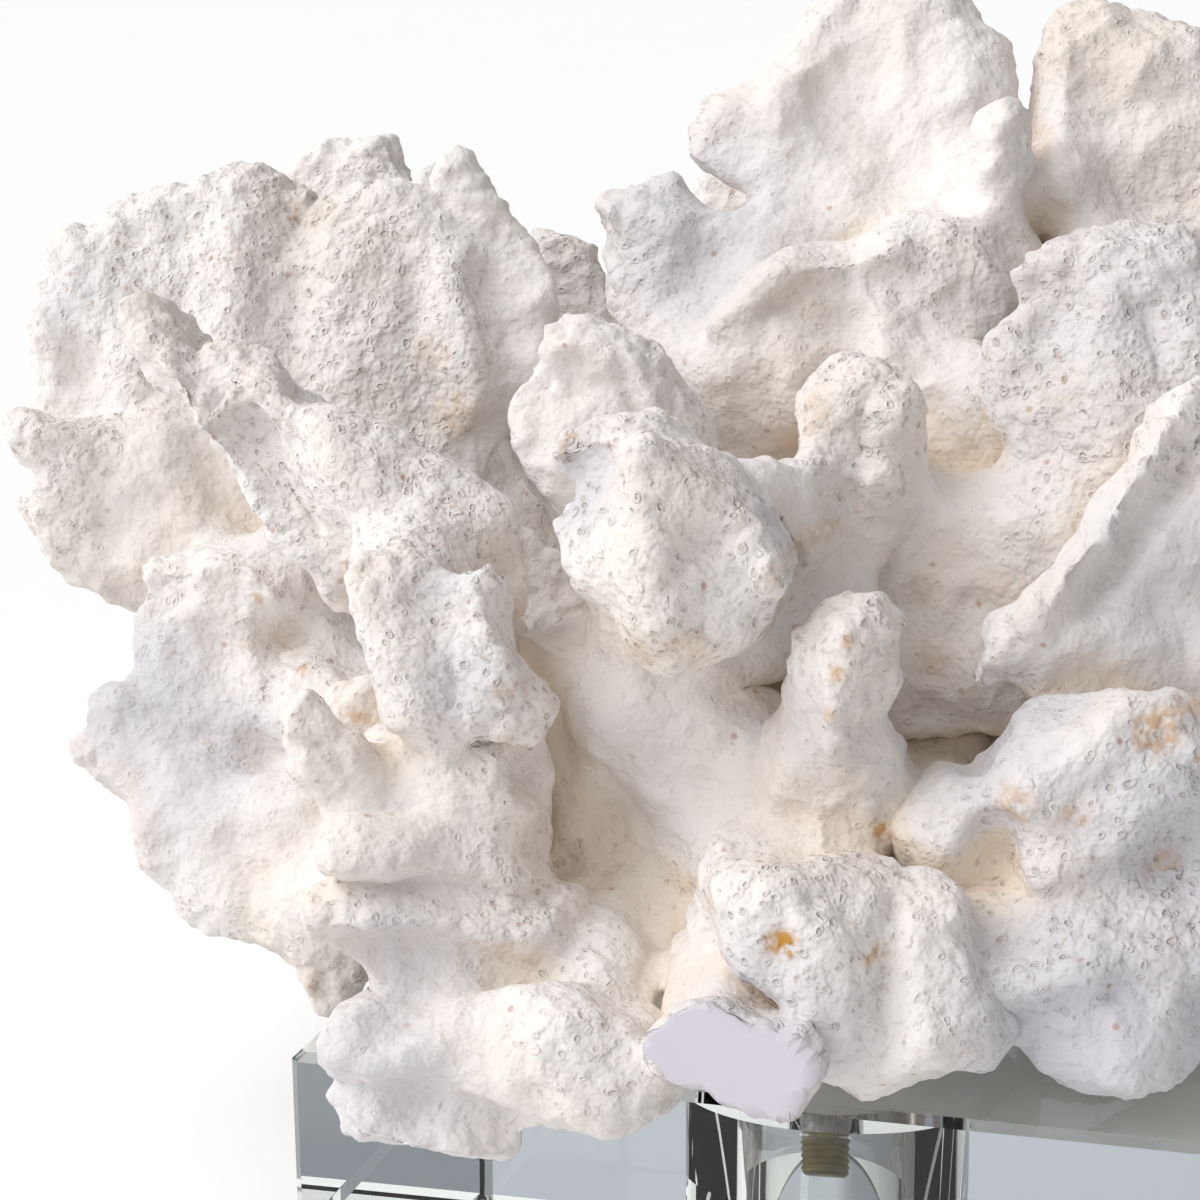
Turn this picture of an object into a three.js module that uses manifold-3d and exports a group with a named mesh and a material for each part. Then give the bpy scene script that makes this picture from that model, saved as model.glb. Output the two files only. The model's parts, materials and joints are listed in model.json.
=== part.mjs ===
// Branching coral on a clear crystal block, in millimetres, +Z up.
// Heights count from the block's top face while the pieces are made; the whole
// group is then moved so that its origin is the middle of its lowest plane.
import * as THREE from "three";
import { mergeVertices } from "three/addons/utils/BufferGeometryUtils.js";
import Module from "manifold-3d";

const wasm = await Module();
wasm.setup();

// Crystal block
const blockSide = 127;
const blockThick = 27;
const blockChamfer = 1.1;
const recessRadius = 20;
const recessDepth = 12;
const roundSides = 36;

// Threaded rod that holds the coral on the block
const rodRadius = 5.1;
const rodTop = 17;
const rodBottom = -19.8;
const rodChamfer = 0.8;
const rodSides = 18;

// Every piece keeps this gap to the pieces that it meets
const gap = 0.3;

// Spacing of the points along a blade's rim, and sides and steps of a limb and of a blade's root
const rimSpacing = 14;
const fewestRimPoints = 8;
const limbSides = 8;
const limbSteps = 4;
const rootSides = 5;
const rootSteps = 1;
const tipReach = 0.6;

// Where a blade's middle ring lies between hub and rim, and how full it is there
const midAlong = 0.55;
const midFullness = 0.92;
const hubFullness = 0.42;
const shoulderAlong = 0.9;

// Roots that tie each blade to the holdfast
const rootRadius = 8;

// Blades: the hub in the middle, the thickness at the hub and near the rim, and the point in the
// holdfast that the blade grows from. A plain blade lies in one plane: turn swings its right side
// away and lean tips its top away, in degrees, and reach is how far its rim lies from the hub, in
// equal steps anticlockwise from the right. A warped blade has a rim of a few points instead.
const blades = {
  left_fan: {
    thick: 13, edge: 7, hub: [-87, 0, 84], turn: 8, lean: 14, root: [-38, -4, 40],
    reach: [31, 31, 29, 28, 30, 36, 42, 41, 38, 33, 38, 40],
  },
  left_tip: {
    thick: 11, edge: 7, hub: [-109, -14, 62], turn: 25, lean: 0, root: [-50, -20, 34],
    reach: [16, 17, 13, 20, 15, 13, 15, 22],
  },
  left_front_blade: {
    thick: 11, edge: 6, hub: [-63, -38, 71], turn: -14, lean: -14, root: [-42, -26, 36],
    reach: [20, 14, 13, 9, 17, 40, 18, 12, 13, 17, 26, 30],
  },
  left_front_finger: {
    thick: 15, edge: 9, hub: [-41, -62, 55], turn: -25, lean: 0, root: [-38, -34, 34],
    reach: [10, 11, 16, 18, 12, 12, 14, 17],
  },
  left_cup: {
    thick: 12, edge: 6, hub: [-84, -26, 45], turn: 15, lean: 12, root: [-54, -26, 32],
    reach: [15, 15, 13, 18, 15, 14, 13, 16],
  },
  left_shelf: {
    thick: 11, edge: 6, hub: [-91, -28, 30], turn: 15, lean: 0, root: [-50, -24, 24],
    reach: [20, 14, 17, 15, 20, 12, 9, 19],
  },
  left_low_blade: {
    thick: 12, edge: 6, hub: [-80, -38, 17], turn: -12, lean: 6, root: [-44, -28, 18],
    reach: [20, 16, 12, 30, 17, 13, 10, 30],
  },
  left_lip: {
    thick: 13, edge: 7, hub: [-40, -64, 24], turn: 32, lean: 15, root: [-30, -42, 16],
    reach: [19, 12, 9, 17, 18, 13, 12, 18],
  },
  low_left_toe: {
    thick: 17, edge: 10, hub: [-41, -75, 3], turn: 12, lean: 18, root: [-26, -58, 8],
    reach: [15, 12, 9, 12, 13, 11, 8, 14],
  },
  low_middle_knob: {
    thick: 17, edge: 12, hub: [-19, -76, 8], turn: 35, lean: 15, root: [-20, -56, 9],
    reach: [14, 11, 7, 10, 10, 9, 8, 11],
  },
  centre_crown: {
    thick: 13, edge: 8, hub: [-28, -28, 78], turn: 20, lean: 5, root: [-16, -22, 60],
    reach: [13, 12, 16, 17, 16, 13, 17, 22],
  },
  centre_boss: {
    thick: 22, edge: 12, hub: [-13, -58, 70], turn: 0, lean: 0, root: [-17, -34, 62],
    reach: [16, 12, 14, 18, 14, 13, 15, 15],
  },
  front_lobe: {
    thick: 22, edge: 13, hub: [15, -68, 18], turn: 30, lean: 15, root: [8, -36, 18],
    reach: [18, 17, 15, 15, 18, 26, 16, 13, 14, 14, 16, 19],
  },
  right_foot_lobe: {
    thick: 20, edge: 12, hub: [44, -56, 15], turn: 25, lean: 22, root: [30, -24, 16],
    reach: [14, 17, 15, 15, 13, 15, 13, 11],
  },
  right_low_lobe: {
    thick: 19, edge: 12, hub: [42, -50, 38], turn: 20, lean: 4, root: [32, -22, 24],
    reach: [17, 15, 13, 16, 18, 14, 13, 16],
  },
  right_ridge_blade: {
    thick: 12, edge: 7, hub: [40, -32, 60], turn: 32, lean: 0, root: [30, -10, 36],
    reach: [24, 26, 29, 18, 11, 10, 14, 22, 17, 17, 19, 23],
  },
  dish: {
    thick: 13, edge: 8, hub: [6, -10, 58], turn: 12, lean: 22, root: [6, -10, 56],
    reach: [23, 21, 17, 18, 20, 17, 18, 20],
  },
  centre_right_knob: {
    thick: 14, edge: 9, hub: [5, -26, 78], turn: 15, lean: -18, root: [8, -10, 60],
    reach: [8, 9, 9, 9, 9, 10, 11, 9],
  },
  right_lobe: {
    thick: 14, edge: 8, hub: [37, -12, 84], turn: 10, lean: 10, root: [24, 0, 50],
    reach: [22, 20, 20, 21, 20, 19, 20, 22],
  },
  centre_right_blade: {
    thick: 13, edge: 8, hub: [0, 2, 89], turn: 16, lean: 5, root: [6, 4, 64],
    reach: [17, 20, 13, 15, 19, 19, 14, 14],
  },
  centre_back_lobe: {
    thick: 13, edge: 8, hub: [-28, 12, 90], turn: 15, lean: 14, root: [-6, 6, 62],
    reach: [13, 17, 22, 19, 13, 13, 21, 21],
  },
  top_fan: {
    thick: 13, edge: 8, hub: [-4, 26, 114], turn: 12, lean: 20, root: [6, 14, 70],
    reach: [18, 23, 27, 28, 24, 20, 28, 19, 23, 24, 21, 18],
  },
  top_right_fan: {
    thick: 14, edge: 8, hub: [34, 34, 111], turn: 12, lean: 22, root: [20, 14, 62],
    reach: [23, 19, 24, 26, 19, 24, 25, 26],
  },
  top_splinter: {
    thick: 8, edge: 5, hub: [17, 14, 114], turn: 25, lean: 15, root: [14, 14, 76],
    reach: [5, 6, 7, 5, 4, 7, 8, 6],
  },
  left_back_spade: {
    thick: 10, edge: 6, hub: [-70, 24, 101], turn: 0, lean: 20, root: [-26, 14, 48],
    reach: [6, 8, 16, 10, 5, 9, 18, 14],
  },
  left_back_bumps: {
    thick: 10, edge: 6, hub: [-88, 30, 106], turn: 0, lean: 20, root: [-34, 14, 44],
    reach: [12, 10, 7, 10, 12, 14, 17, 18],
  },
  left_back_blade: {
    thick: 10, edge: 6, hub: [-54, 10, 87], turn: 10, lean: 20, root: [-26, 6, 50],
    reach: [6, 9, 16, 10, 5, 8, 15, 12],
  },
  back_finger: {
    thick: 10, edge: 6, hub: [-58, 44, 87], turn: 10, lean: 20, root: [-20, 20, 52],
    reach: [7, 8, 14, 13, 6, 9, 14, 17],
  },
  right_outer_fan: {
    thick: 13, edge: 7, hub: [84, -8, 56],
    rim: [[24, -6, 26], [44, -16, 34], [60, -26, 50], [64, -30, 68], [76, -28, 82], [86, -24, 80],
      [96, -18, 90], [108, -8, 86], [111, 2, 72], [119, 8, 60], [112, 14, 44], [98, 12, 36],
      [80, 6, 26], [56, 2, 18], [34, 4, 16]],
  },
  right_outer_shelf: {
    thick: 13, edge: 7, hub: [80, -24, 16],
    rim: [[24, -16, 10], [44, -34, 6], [60, -44, 12], [74, -50, 20], [88, -44, 22], [98, -40, 32],
      [110, -28, 34], [114, -14, 26], [104, -4, 16], [86, -4, 8], [60, -4, 4], [34, -2, 6]],
  },
  right_upper_blade: {
    thick: 12, edge: 7, hub: [78, 20, 82],
    rim: [[20, 8, 46], [40, 6, 58], [54, 2, 76], [58, 4, 96], [70, 6, 108], [80, 12, 106],
      [88, 18, 114], [100, 26, 108], [106, 32, 92], [98, 34, 78], [90, 32, 66], [64, 22, 52],
      [36, 18, 42]],
  },
  right_back_fan: {
    thick: 12, edge: 7, hub: [74, 44, 54],
    rim: [[22, 18, 24], [36, 34, 40], [42, 46, 58], [54, 56, 70], [62, 58, 84], [74, 60, 82],
      [84, 58, 88], [98, 50, 78], [104, 40, 60], [96, 32, 44], [84, 30, 36], [58, 24, 24],
      [34, 14, 20]],
  },
  back_fan: {
    thick: 13, edge: 7, hub: [0, 62, 72],
    rim: [[-14, 26, 36], [-32, 46, 56], [-42, 62, 78], [-36, 74, 96], [-22, 74, 92],
      [-12, 82, 106], [4, 86, 110], [14, 80, 100], [28, 78, 104], [40, 68, 86], [32, 50, 62],
      [14, 28, 36]],
  },
  back_left_fan: {
    thick: 12, edge: 7, hub: [-72, 46, 64],
    rim: [[-22, 20, 28], [-42, 34, 36], [-64, 38, 34], [-86, 36, 42], [-100, 38, 58],
      [-96, 44, 76], [-102, 48, 88], [-90, 56, 100], [-76, 58, 92], [-62, 64, 96],
      [-50, 62, 80], [-46, 52, 60], [-30, 34, 44]],
  },
  back_low_left: {
    thick: 14, edge: 8, hub: [-60, 54, 18],
    rim: [[-18, 26, 10], [-40, 38, 7], [-62, 40, 6], [-84, 36, 10], [-98, 44, 20], [-92, 56, 30],
      [-80, 62, 28], [-70, 74, 36], [-54, 80, 32], [-46, 72, 20], [-34, 62, 16], [-16, 34, 16]],
  },
  back_low_lobe: {
    thick: 15, edge: 9, hub: [0, 66, 16],
    rim: [[-12, 28, 10], [-24, 52, 7], [-32, 68, 14], [-22, 80, 26], [-10, 82, 24], [0, 92, 32],
      [14, 88, 30], [22, 78, 20], [32, 70, 14], [26, 52, 7], [12, 28, 10]],
  },
  back_low_right: {
    thick: 14, edge: 8, hub: [62, 52, 16],
    rim: [[18, 26, 10], [34, 48, 8], [38, 64, 14], [46, 78, 26], [58, 76, 26], [68, 80, 34],
      [84, 66, 32], [88, 54, 24], [98, 44, 22], [86, 32, 10], [60, 30, 6], [34, 20, 8]],
  },
  back_crown: {
    thick: 12, edge: 7, hub: [-10, 40, 98],
    rim: [[-10, 14, 56], [-28, 26, 70], [-38, 36, 90], [-34, 46, 112], [-22, 46, 116],
      [-12, 54, 132], [2, 56, 134], [10, 50, 118], [20, 46, 112], [14, 38, 88], [6, 22, 64]],
  },
  back_top_blade: {
    thick: 12, edge: 7, hub: [44, 46, 94],
    rim: [[10, 16, 54], [20, 32, 72], [20, 48, 92], [26, 60, 114], [38, 62, 120], [46, 66, 134],
      [58, 62, 128], [64, 54, 112], [74, 46, 102], [66, 38, 84], [46, 28, 66], [26, 14, 54]],
  },
  left_side_lobe: {
    thick: 14, edge: 8, hub: [-84, 14, 26],
    rim: [[-26, 6, 10], [-50, 2, 8], [-76, 0, 10], [-96, -4, 16], [-112, 4, 28], [-106, 16, 36],
      [-112, 26, 46], [-98, 34, 52], [-82, 30, 44], [-64, 24, 30], [-34, 18, 22]],
  },
};

// Fingers, knobs and stubs: points [x, y, z, radius] from the root to the tip.
const limbs = {
  left_trunk: [[-14, -10, 16, 18], [-32, -20, 22, 18], [-48, -28, 28, 15], [-60, -30, 36, 10]],
  lower_left_trunk: [[-8, -20, 10, 14], [-19, -44, 10, 13], [-27, -60, 9, 9]],
  front_trunk: [[-10, -18, 12, 13], [-17, -32, 26, 14], [-20, -36, 42, 13], [-19, -35, 58, 11],
    [-17, -30, 70, 8]],
  centre_finger: [[3, -16, 14, 15], [6, -42, 24, 15], [7, -52, 40, 12], [9, -56, 52, 9],
    [11, -58, 63, 6]],
  left_finger: [[-46, -38, 24, 9], [-48, -50, 30, 8], [-51, -60, 36, 7], [-55, -66, 42, 5.5],
    [-59, -68, 49, 3.5]],
  left_knob: [[-52, -34, 30, 7], [-57, -44, 36, 6], [-58, -50, 47, 4]],
  right_bud: [[16, -26, 24, 8], [21, -46, 30, 7], [24, -57, 36, 5]],
  right_low_knob: [[24, -22, 24, 9], [42, -46, 38, 9], [49, -54, 49, 7]],
  back_spur: [[0, 24, 26, 10], [6, 52, 38, 9], [14, 72, 50, 7], [18, 84, 62, 4.5]],
};

// The stub of a sawn branch is broader than it is high.
const stubPath = [[-6, -30, 12, 13], [-3, -60, 14, 12], [-1, -78, 14, 11], [0, -96, 13, 10]];
const stubHeight = 0.6;

// The sawn end of the stub faces forwards, a little to the left and down.
const sawnPoint = new THREE.Vector3(0, -84, 13);
const sawnFacing = new THREE.Vector3(-0.12, -1, -0.16).normalize();

// The holdfast that every branch grows from.
const holdfastPath = [
  [0, 0, 0, 24], [-1, -1, 12, 30], [-2, 0, 28, 31], [0, 3, 46, 26], [2, 6, 66, 15],
];

const coralMaterial = new THREE.MeshStandardMaterial({
  color: 0xf1ece6, roughness: 0.9, metalness: 0,
});
const crystalMaterial = new THREE.MeshStandardMaterial({
  color: 0xdfeeea, roughness: 0.02, metalness: 0, transparent: true, opacity: 0.35,
});
const brassMaterial = new THREE.MeshStandardMaterial({
  color: 0x8c7a4a, roughness: 0.4, metalness: 0.9,
});

// A closed geometry as a solid with its faces outward.
function solidFrom(geometry) {
  const bare = geometry.clone();
  bare.deleteAttribute("normal");
  bare.deleteAttribute("uv");
  const merged = mergeVertices(bare, 1e-3);
  const vertProperties = merged.attributes.position.array;
  const triVerts = new Uint32Array(merged.index.array);
  const solid = new wasm.Manifold(new wasm.Mesh({ numProp: 3, vertProperties, triVerts }));
  if (solid.volume() > 0) return solid;
  for (let i = 0; i < triVerts.length; i += 3) {
    [triVerts[i + 1], triVerts[i + 2]] = [triVerts[i + 2], triVerts[i + 1]];
  }
  return new wasm.Manifold(new wasm.Mesh({ numProp: 3, vertProperties, triVerts }));
}

function geometryFrom(solid) {
  const mesh = solid.getMesh();
  const positions = new Float32Array(mesh.numVert * 3);
  for (let i = 0; i < mesh.numVert; i += 1) {
    positions.set(mesh.vertProperties.subarray(i * mesh.numProp, i * mesh.numProp + 3), i * 3);
  }
  const geometry = new THREE.BufferGeometry();
  geometry.setAttribute("position", new THREE.BufferAttribute(positions, 3));
  geometry.setIndex(new THREE.BufferAttribute(mesh.triVerts, 1));
  geometry.computeVertexNormals();
  return geometry;
}

// Cuts can leave crumbs: only the largest body is the piece.
function largestBody(solid) {
  return solid.decompose().reduce((best, body) => (body.volume() > best.volume() ? body : best));
}

// Rings of points joined into one closed skin, with a single point at each end.
function skinOf(startPoint, rings, endPoint) {
  const count = rings[0].length;
  const points = [startPoint, ...rings.flat(), endPoint];
  const last = points.length - 1;
  const at = (ring, i) => 1 + ring * count + (i % count);
  const faces = [];
  for (let i = 0; i < count; i += 1) {
    faces.push(0, at(0, i), at(0, i + 1));
    faces.push(last, at(rings.length - 1, i + 1), at(rings.length - 1, i));
    for (let ring = 0; ring + 1 < rings.length; ring += 1) {
      faces.push(at(ring, i), at(ring + 1, i), at(ring + 1, i + 1));
      faces.push(at(ring, i), at(ring + 1, i + 1), at(ring, i + 1));
    }
  }
  const geometry = new THREE.BufferGeometry().setFromPoints(points);
  geometry.setIndex(faces);
  return geometry;
}

// The mean facing of a closed outline.
function facingOf(outline) {
  const facing = new THREE.Vector3();
  const centre = outline.reduce((sum, point) => sum.add(point), new THREE.Vector3());
  centre.divideScalar(outline.length);
  outline.forEach((point, i) => {
    const next = outline[(i + 1) % outline.length];
    facing.add(point.clone().sub(centre).cross(next.clone().sub(centre)));
  });
  return facing.normalize();
}

// The rim of a plain blade, from its reach in each direction.
function rimAround({ hub, turn, lean, reach }) {
  const plane = new THREE.Euler(
    -THREE.MathUtils.degToRad(lean), 0, THREE.MathUtils.degToRad(turn), "ZXY");
  return reach.map((distance, i) => {
    const angle = (2 * Math.PI * i) / reach.length;
    const spoke = new THREE.Vector3(Math.cos(angle), 0, Math.sin(angle)).multiplyScalar(distance);
    return spoke.applyEuler(plane).add(new THREE.Vector3(...hub));
  });
}

// A lobed blade: full near its hub, thinner towards a rounded rim.
function bladeSolid(blade, grow) {
  const { hub, thick, edge } = blade;
  const rim = blade.rim ? blade.rim.map((p) => new THREE.Vector3(...p)) : rimAround(blade);
  const curve = new THREE.CatmullRomCurve3(rim, true);
  const count = Math.max(fewestRimPoints, Math.round(curve.getLength() / rimSpacing));
  const outline = curve.getSpacedPoints(count).slice(0, count);
  const middle = new THREE.Vector3(...hub);
  const facing = facingOf(outline);
  const ringAt = (along, offset) => outline.map((point) => {
    const outward = point.clone().sub(middle).normalize().multiplyScalar(grow);
    return middle.clone().lerp(point, along).add(outward).addScaledVector(facing, offset);
  });
  const full = thick / 2 + grow;
  const thin = edge / 2 + grow;
  const rings = [
    ringAt(midAlong, full * midFullness),
    ringAt(shoulderAlong, thin),
    ringAt(1, 0),
    ringAt(shoulderAlong, -thin),
    ringAt(midAlong, -full * midFullness),
  ];
  const front = middle.clone().addScaledVector(facing, full);
  const back = middle.clone().addScaledVector(facing, -full);
  return solidFrom(skinOf(front, rings, back));
}

// A limb along a smooth route, with domed ends. A height under 1 flattens a level limb.
function limbSolid(path, grow, { sides = limbSides, steps = limbSteps, height = 1 } = {}) {
  const curve = new THREE.CatmullRomCurve3(path.map(([x, y, z]) => new THREE.Vector3(x, y, z)));
  const radii = new THREE.CatmullRomCurve3(path.map(([, , , r], i) => new THREE.Vector3(i, r, 0)));
  const run = curve.getPoint(1).sub(curve.getPoint(0)).normalize();
  const above = Math.abs(run.z) < 0.7 ? new THREE.Vector3(0, 0, 1) : new THREE.Vector3(0, 1, 0);
  const rings = [];
  for (let step = 0; step <= steps; step += 1) {
    const centre = curve.getPoint(step / steps);
    const across = curve.getTangent(step / steps).cross(above).normalize();
    const up = across.clone().cross(curve.getTangent(step / steps));
    const radius = radii.getPoint(step / steps).y;
    const ring = [];
    for (let i = 0; i < sides; i += 1) {
      const turn = (2 * Math.PI * i) / sides;
      ring.push(centre.clone()
        .addScaledVector(across, Math.cos(turn) * (radius + grow))
        .addScaledVector(up, Math.sin(turn) * (radius * height + grow)));
    }
    rings.push(ring);
  }
  const tipRadius = path[path.length - 1][3];
  const start = curve.getPoint(0).addScaledVector(curve.getTangent(0), -grow);
  const tip = curve.getPoint(1).addScaledVector(curve.getTangent(1), tipRadius * tipReach + grow);
  return solidFrom(skinOf(start, rings, tip));
}

// A blade, with the root that carries it where its own rim stays clear of the holdfast.
function branchSolid(blade, grow) {
  if (!blade.root) return bladeSolid(blade, grow);
  const path = [[...blade.root, rootRadius], [...blade.hub, blade.thick * hubFullness]];
  return bladeSolid(blade, grow).add(limbSolid(path, grow, { sides: rootSides, steps: rootSteps }));
}

function rodSolid(grow) {
  const radius = rodRadius + grow;
  const top = rodTop + grow;
  const bottom = rodBottom - grow;
  const profile = [
    [0, bottom], [radius - rodChamfer, bottom], [radius, bottom + rodChamfer],
    [radius, top - rodChamfer], [radius - rodChamfer, top], [0, top],
  ].map(([r, z]) => new THREE.Vector2(r, z));
  return solidFrom(new THREE.LatheGeometry(profile, rodSides).rotateX(Math.PI / 2));
}

// A square block with every edge chamfered.
function blockSolid(grow) {
  const half = blockSide / 2 - blockChamfer + grow;
  const outline = new THREE.Shape();
  outline.moveTo(-half, -half).lineTo(half, -half).lineTo(half, half).lineTo(-half, half).closePath();
  return solidFrom(new THREE.ExtrudeGeometry(outline, {
    depth: blockThick - 2 * blockChamfer + 2 * grow,
    bevelThickness: blockChamfer,
    bevelSize: blockChamfer,
    bevelSegments: 1,
  }).translate(0, 0, blockChamfer - blockThick - grow));
}

// The block with its rod hole and the round recess below.
function crystalSolid() {
  const recess = new THREE.CylinderGeometry(recessRadius, recessRadius, recessDepth * 2, roundSides);
  recess.rotateX(Math.PI / 2).translate(0, 0, -blockThick);
  return blockSolid(0).subtract(solidFrom(recess)).subtract(rodSolid(gap));
}

function sawnOff(solid, grow) {
  const reach = 4 * stubPath[0][3];
  const waste = new THREE.BoxGeometry(reach, reach, reach).translate(0, 0, reach / 2 + grow);
  const upwards = new THREE.Vector3(0, 0, 1);
  waste.applyQuaternion(new THREE.Quaternion().setFromUnitVectors(upwards, sawnFacing));
  waste.translate(sawnPoint.x, sawnPoint.y, sawnPoint.z);
  return solid.subtract(solidFrom(waste));
}

function meshOf(name, solid, material) {
  const mesh = new THREE.Mesh(geometryFrom(solid), material);
  mesh.name = name;
  return mesh;
}

// Each coral piece is trimmed by the ones before it, so earlier pieces keep their full shape.
function coralPieces() {
  const shapes = { holdfast: (grow) => limbSolid(holdfastPath, grow) };
  for (const [name, path] of Object.entries(limbs)) {
    shapes[name] = (grow) => limbSolid(path, grow);
  }
  shapes.sawn_stub = (grow) => sawnOff(limbSolid(stubPath, grow, { height: stubHeight }), grow);
  for (const [name, blade] of Object.entries(blades)) {
    shapes[name] = (grow) => branchSolid(blade, grow);
  }
  let taken = rodSolid(gap).add(blockSolid(gap));
  const pieces = [];
  for (const [name, shape] of Object.entries(shapes)) {
    pieces.push(meshOf(name, largestBody(shape(0).subtract(taken)), coralMaterial));
    taken = taken.add(shape(gap));
  }
  return pieces;
}

const coral = new THREE.Group();
coral.add(meshOf("crystal_base", crystalSolid(), crystalMaterial));
coral.add(meshOf("threaded_rod", rodSolid(0), brassMaterial));
coral.add(...coralPieces());

const extent = new THREE.Box3().setFromObject(coral);
const middle = extent.getCenter(new THREE.Vector3());
coral.position.set(-middle.x, -middle.y, -extent.min.z);

export default coral;
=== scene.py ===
import json
import math
import bpy
import numpy as np
import openvdb
from mathutils import Matrix, Vector


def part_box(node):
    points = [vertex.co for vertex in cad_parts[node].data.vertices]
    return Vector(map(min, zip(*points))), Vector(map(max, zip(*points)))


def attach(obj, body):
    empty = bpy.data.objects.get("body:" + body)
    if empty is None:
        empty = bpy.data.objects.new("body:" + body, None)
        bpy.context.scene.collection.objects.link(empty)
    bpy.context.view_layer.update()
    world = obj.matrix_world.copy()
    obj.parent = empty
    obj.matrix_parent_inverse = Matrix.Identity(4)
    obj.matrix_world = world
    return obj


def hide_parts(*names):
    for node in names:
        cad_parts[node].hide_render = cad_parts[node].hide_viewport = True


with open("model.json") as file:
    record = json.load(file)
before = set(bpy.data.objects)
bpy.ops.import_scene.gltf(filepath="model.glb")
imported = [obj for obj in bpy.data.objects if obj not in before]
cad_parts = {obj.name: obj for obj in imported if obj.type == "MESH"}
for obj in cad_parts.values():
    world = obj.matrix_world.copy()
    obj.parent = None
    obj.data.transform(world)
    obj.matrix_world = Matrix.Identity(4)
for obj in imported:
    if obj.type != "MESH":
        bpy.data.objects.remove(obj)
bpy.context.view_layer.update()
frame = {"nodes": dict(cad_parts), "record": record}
mm = 0.001

blockLow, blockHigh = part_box("crystal_base")
rodLow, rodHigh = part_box("threaded_rod")
blockTop = Vector(((blockLow.x + blockHigh.x) / 2, (blockLow.y + blockHigh.y) / 2, blockHigh.z))
coralNodes = [row["node"] for row in frame["record"]["subparts"] if row["material_slot"] == "coral"]


def linear(hexColour):
    # sRGB hex to the linear values that shaders take
    parts = [int(hexColour[i:i + 2], 16) / 255 for i in (0, 2, 4)]
    return tuple(c / 12.92 if c <= 0.04045 else ((c + 0.055) / 1.055) ** 2.4 for c in parts) + (1.0,)


def addNode(tree, kind, settings=None, links=None):
    # one node: settings by attribute or socket name, links as {input: output socket}
    node = tree.nodes.new(kind)
    for name, value in (settings or {}).items():
        if isinstance(name, str) and hasattr(node, name):
            setattr(node, name, value)
        else:
            node.inputs[name].default_value = value
    for name, source in (links or {}).items():
        tree.links.new(source, node.inputs[name])
    return node


def span(limits, most=1.0, smooth=False):
    # a map range node's settings: the value where it begins, the value where it is full, and how much then
    settings = {"From Min": limits[0], "From Max": limits[1], "To Max": most}
    if smooth:
        settings["interpolation_type"] = "SMOOTHSTEP"
    return settings


def newMaterial(name):
    material = bpy.data.materials.new(name)
    material.use_nodes = True
    material.node_tree.nodes.clear()
    return material, material.node_tree


def meshPiece(name, points, faces, material, smooth=True):
    mesh = bpy.data.meshes.new(name)
    mesh.from_pydata(points, [], faces)
    mesh.validate()
    mesh.materials.append(material)
    mesh.polygons.foreach_set("use_smooth", [smooth] * len(mesh.polygons))
    piece = bpy.data.objects.new(name, mesh)
    bpy.context.scene.collection.objects.link(piece)
    return piece


# a close three-quarter view from the front right, a little above
viewpoint = {
    "right": 78.8,     # mm from the middle of the block's top
    "back": 388.0,
    "up": 137.4,
    "turn": 16.91,     # degrees to the left of straight ahead
    "dip": 12.35,      # degrees below level
    "roll": -0.80,
    "lens": 85.2,      # mm
    "sensor": 36,      # mm wide
    "near": 0.01,      # m, nearest and farthest that it sees
    "far": 400,
}


def addCamera():
    data = bpy.data.cameras.new("Camera")
    data.lens = viewpoint["lens"]
    data.sensor_width = viewpoint["sensor"]
    data.clip_start = viewpoint["near"]
    data.clip_end = viewpoint["far"]
    camera = bpy.data.objects.new("Camera", data)
    bpy.context.scene.collection.objects.link(camera)
    camera.location = blockTop + Vector((viewpoint["right"], -viewpoint["back"], viewpoint["up"])) * mm
    turn = Matrix.Rotation(math.radians(viewpoint["turn"]), 4, "Z")
    dip = Matrix.Rotation(math.radians(90 - viewpoint["dip"]), 4, "X")
    roll = Matrix.Rotation(math.radians(viewpoint["roll"]), 4, "Z")
    camera.rotation_mode = "QUATERNION"
    camera.rotation_quaternion = (turn @ dip @ roll).to_quaternion()
    bpy.context.scene.camera = camera


# an even, bright studio; the key light comes from the upper left, and the walls behind are grey
studio = {
    "sky": "ffffff",
    "skyLeft": 0.98,          # brightness of the room on each side
    "skyRight": 0.28,
    "wallLeft": "bec2ca",     # the room behind, seen only through the crystal
    "wallRight": "8b8e96",
    "keyFrom": (-0.75, -0.62, 0.95),
    "keyStrength": 1.8,
    "keySpread": 50,          # degrees
    "floor": "fdfdfc",
    "floorReach": 300.0,      # m
    "floorSides": 64,
    "floorDrop": 0.3,         # mm of air under the crystal
    "mottle": 333.0,          # mm, size of the board's faint patches
    "mottleDark": 0.98,
    "wallDepth": (0.15, 0.45),   # where the wall begins behind and ends above, by direction
    "wallTop": (0.75, 0.55),
    "wallSplit": (-0.1, 0.1),
    "skySpan": (-0.4, 0.6),
}


def addKey():
    data = bpy.data.lights.new("key", "SUN")
    data.energy = studio["keyStrength"]
    data.angle = math.radians(studio["keySpread"])
    light = bpy.data.objects.new("key", data)
    bpy.context.scene.collection.objects.link(light)
    light.rotation_euler = Vector(studio["keyFrom"]).to_track_quat("Z", "Y").to_euler()


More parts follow.
